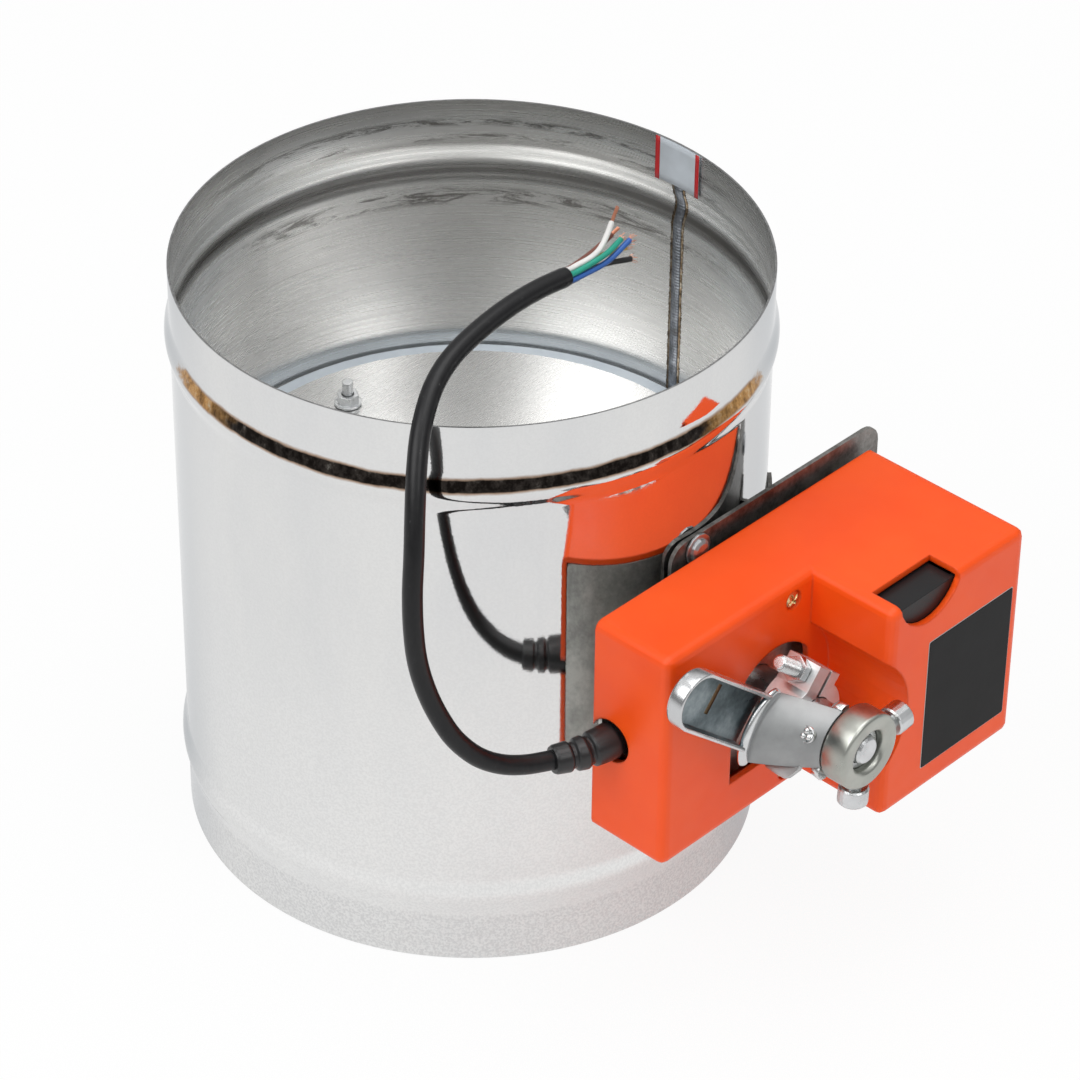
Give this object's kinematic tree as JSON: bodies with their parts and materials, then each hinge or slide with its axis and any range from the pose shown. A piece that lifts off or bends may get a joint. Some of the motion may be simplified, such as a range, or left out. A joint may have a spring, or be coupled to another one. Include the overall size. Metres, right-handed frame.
{
  "type": "motorized round damper",
  "caption": "Round steel duct section with a sealed blade on a through shaft, turned by a clamp-on geared electric actuator with a release button and a bare-ended lead.",
  "frame": {"origin": "on the plane of the duct's lower rim, at the middle of the length and width without the lead", "axes": "+Z along the duct, lower rim to upper rim; +X along the blade shaft towards the actuator; +Y towards the actuator's thick half"},
  "size_m": [0.2867, 0.2152, 0.2419],
  "materials": {
    "stainless_sheet": "bright rolled outside, satin inside",
    "zinc_plate": "bright zinc",
    "galvanized_steel": "dull galvanized",
    "orange_plastic": "satin moulded",
    "black_plastic": "fine matt",
    "gasket_rubber": "light grey, matt",
    "brass": "satin",
    "white_nylon": "natural",
    "board_green": "lacquered",
    "capacitor_yellow": "moulded",
    "core_white": "insulation",
    "core_brown": "insulation",
    "core_green": "insulation",
    "core_blue": "insulation",
    "core_yellow": "insulation",
    "core_black": "insulation"
  },
  "bodies": {
    "duct": {"actuator_base": "galvanized_steel", "actuator_housing": "orange_plastic", "base_screw_lower": "zinc_plate", "base_screw_upper": "zinc_plate", "circuit_board": "board_green", "core_black": "core_black", "core_blue": "core_blue", "core_brown": "core_brown", "core_green": "core_green", "core_white": "core_white", "core_yellow": "core_yellow", "cover_screw_lower": "brass", "cover_screw_upper": "brass", "drive_motor": "zinc_plate", "duct_casing": "stainless_sheet", "first_axle": "zinc_plate", "front_bush": "white_nylon", "gear_frame": "galvanized_steel", "limit_switch_lower": "black_plastic", "limit_switch_upper": "black_plastic", "mount_plate": "galvanized_steel", "plate_bracket": "galvanized_steel", "plate_nut_lower": "zinc_plate", "plate_nut_upper": "zinc_plate", "plate_screw_lower": "zinc_plate", "plate_screw_upper": "zinc_plate", "power_cable": "black_plastic", "rear_bush": "white_nylon", "release_spring": "zinc_plate", "run_capacitor": "capacitor_yellow", "second_axle": "zinc_plate", "strain_relief": "black_plastic", "terminal_block": "white_nylon"},
    "rotor": {"drive_shaft": "zinc_plate", "shaft_clip": "zinc_plate", "blade_lower": "stainless_sheet", "blade_upper": "stainless_sheet", "blade_gasket": "gasket_rubber", "front_strap": "galvanized_steel", "rear_strap": "galvanized_steel", "blade_nut_1": "zinc_plate", "blade_nut_2": "zinc_plate", "blade_nut_3": "zinc_plate", "blade_nut_4": "zinc_plate", "output_sleeve": "zinc_plate", "output_gear": "white_nylon", "switch_cam": "white_nylon", "clamp_jaw": "zinc_plate", "clamp_bolt": "zinc_plate", "clamp_nut": "zinc_plate", "clamp_lever": "zinc_plate", "clamp_saddle": "zinc_plate", "end_collar": "zinc_plate", "collar_screw_side": "zinc_plate", "collar_screw_lower": "zinc_plate"},
    "second_gear": {"second_gear": "white_nylon"},
    "first_gear": {"first_gear": "white_nylon"},
    "motor_pinion": {"motor_pinion": "brass"},
    "button": {"release_button": "black_plastic"}
  },
  "joints": [
    {"name": "blade_turn", "type": "hinge", "parent": "duct", "child": "rotor", "pos_m": [-0.0353, 0, 0.109], "axis": [1, 0, 0], "range_deg": [0, 90]},
    {"name": "second_gear_spin", "type": "hinge", "parent": "duct", "child": "second_gear", "pos_m": [-0.0353, 0.0269, 0.10665], "axis": [1, 0, 0], "range_deg": [-258, 0]},
    {"name": "first_gear_spin", "type": "hinge", "parent": "duct", "child": "first_gear", "pos_m": [-0.0353, 0.04615, 0.09317], "axis": [1, 0, 0], "range_deg": [0, 751]},
    {"name": "motor_spin", "type": "hinge", "parent": "duct", "child": "motor_pinion", "pos_m": [-0.0353, 0.05282, 0.11149], "axis": [1, 0, 0], "range_deg": [-2502, 0]},
    {"name": "button_press", "type": "slide", "parent": "duct", "child": "button", "axis": [-1, 0, 0], "range_m": [0, 0.005], "stiffness_N_per_m": 400, "springref_m": -0.003, "deforming": ["release_spring"]}
  ],
  "couplings": [
    {"joint": "second_gear_spin", "follows": "blade_turn", "ratio": -2.8571},
    {"joint": "first_gear_spin", "follows": "blade_turn", "ratio": 8.3333},
    {"joint": "motor_spin", "follows": "blade_turn", "ratio": -27.778}
  ]
}
